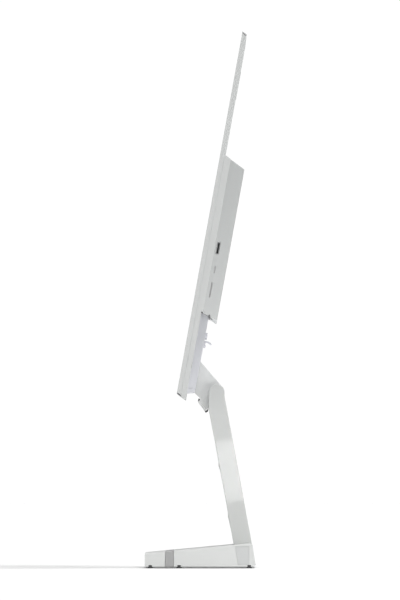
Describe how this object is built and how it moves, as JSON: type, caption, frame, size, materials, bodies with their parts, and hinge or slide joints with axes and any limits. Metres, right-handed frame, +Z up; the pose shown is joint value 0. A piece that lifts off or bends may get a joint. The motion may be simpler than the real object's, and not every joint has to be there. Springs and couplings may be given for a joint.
{
  "type": "all-in-one computer",
  "caption": "Slim all-in-one computer: a tilting display with the computer in a stepped housing behind it, carried by a bent arm on a wedge base, with a pop-up camera.",
  "frame": {"origin": "on the desk, under the middle of the base's footprint", "axes": "+Z up; the screen faces -Y; +X is the right-hand side of someone sitting in front of the screen"},
  "size_m": [0.54, 0.0994, 0.4755],
  "materials": {
    "white_plastic": "fine satin texture",
    "grey_plastic": "fine satin texture",
    "cool_grey_plastic": "fine satin texture",
    "band_grey": "satin metallic grey",
    "dark_plastic": "matte",
    "rubber": "matte",
    "screen_glass": "polished, black behind",
    "steel": "brushed, bright",
    "aluminium": "satin",
    "circuit_board": "solder mask, satin"
  },
  "bodies": {
    "stand": {"base_shell": "white_plastic", "base_band": "band_grey", "base_bottom_plate": "dark_plastic", "base_weight": "steel", "base_rear_strip": "grey_plastic", "neck_mount_block": "grey_plastic", "foot_front_right": "rubber", "foot_front_left": "rubber", "foot_middle_right": "rubber", "foot_middle_left": "rubber", "foot_rear_right": "rubber", "foot_rear_left": "rubber", "base_screw_1": "steel", "base_screw_2": "steel", "neck_shell": "white_plastic", "neck_rear_cover": "white_plastic", "neck_bracket": "steel", "tilt_pin_right": "steel", "tilt_pin_left": "steel", "hinge_washer_right": "steel", "hinge_washer_left": "steel"},
    "display": {"display_tray": "white_plastic", "top_edge_strip": "dark_plastic", "bottom_edge_strip": "dark_plastic", "front_glass": "screen_glass", "backlight_module": "aluminium", "chin_bar": "white_plastic", "mid_housing": "white_plastic", "rear_cover": "grey_plastic", "port_bay_seal": "rubber", "connector_cover": "cool_grey_plastic", "connector_cover_strip": "cool_grey_plastic", "cover_screw_right": "steel", "cover_screw_left": "steel", "cable_clip": "cool_grey_plastic", "chassis": "steel", "motherboard": "circuit_board", "memory_module": "circuit_board", "solid_state_drive": "circuit_board", "wireless_card": "steel", "heat_sink": "aluminium", "fan_housing": "dark_plastic", "speaker_right": "dark_plastic", "speaker_left": "dark_plastic", "usb_port_side": "steel", "lock_slot_plate": "steel", "card_reader": "dark_plastic", "hdmi_port": "steel", "usb_port_rear_left": "steel", "usb_port_rear_right": "steel", "lan_port": "steel", "power_inlet": "dark_plastic", "head_cover": "white_plastic", "head_bottom_plate": "dark_plastic", "tilt_bracket_right": "steel", "tilt_bracket_left": "steel"},
    "camera": {"camera_body": "dark_plastic", "camera_lens": "screen_glass"},
    "power_button": {"power_button": "grey_plastic"},
    "fan": {"fan_impeller": "dark_plastic"}
  },
  "joints": [
    {"name": "display_tilt", "type": "hinge", "parent": "stand", "child": "display", "pos_m": [0, 0.0147, 0.1572], "axis": [-1, 0, 0], "range_deg": [-15.3, 9.7]},
    {"name": "camera_slide", "type": "slide", "parent": "display", "child": "camera", "axis": [0, 0.1788, 0.9839], "range_m": [0, 0.016]},
    {"name": "power_button_press", "type": "slide", "parent": "display", "child": "power_button", "axis": [0, -0.9839, 0.1788], "range_m": [0, 0.0008], "stiffness_N_per_m": 1000},
    {"name": "fan_spin", "type": "hinge", "parent": "display", "child": "fan", "pos_m": [-0.12, 0.02006, 0.29667], "axis": [0, 0.9839, -0.1788], "continuous": true}
  ]
}
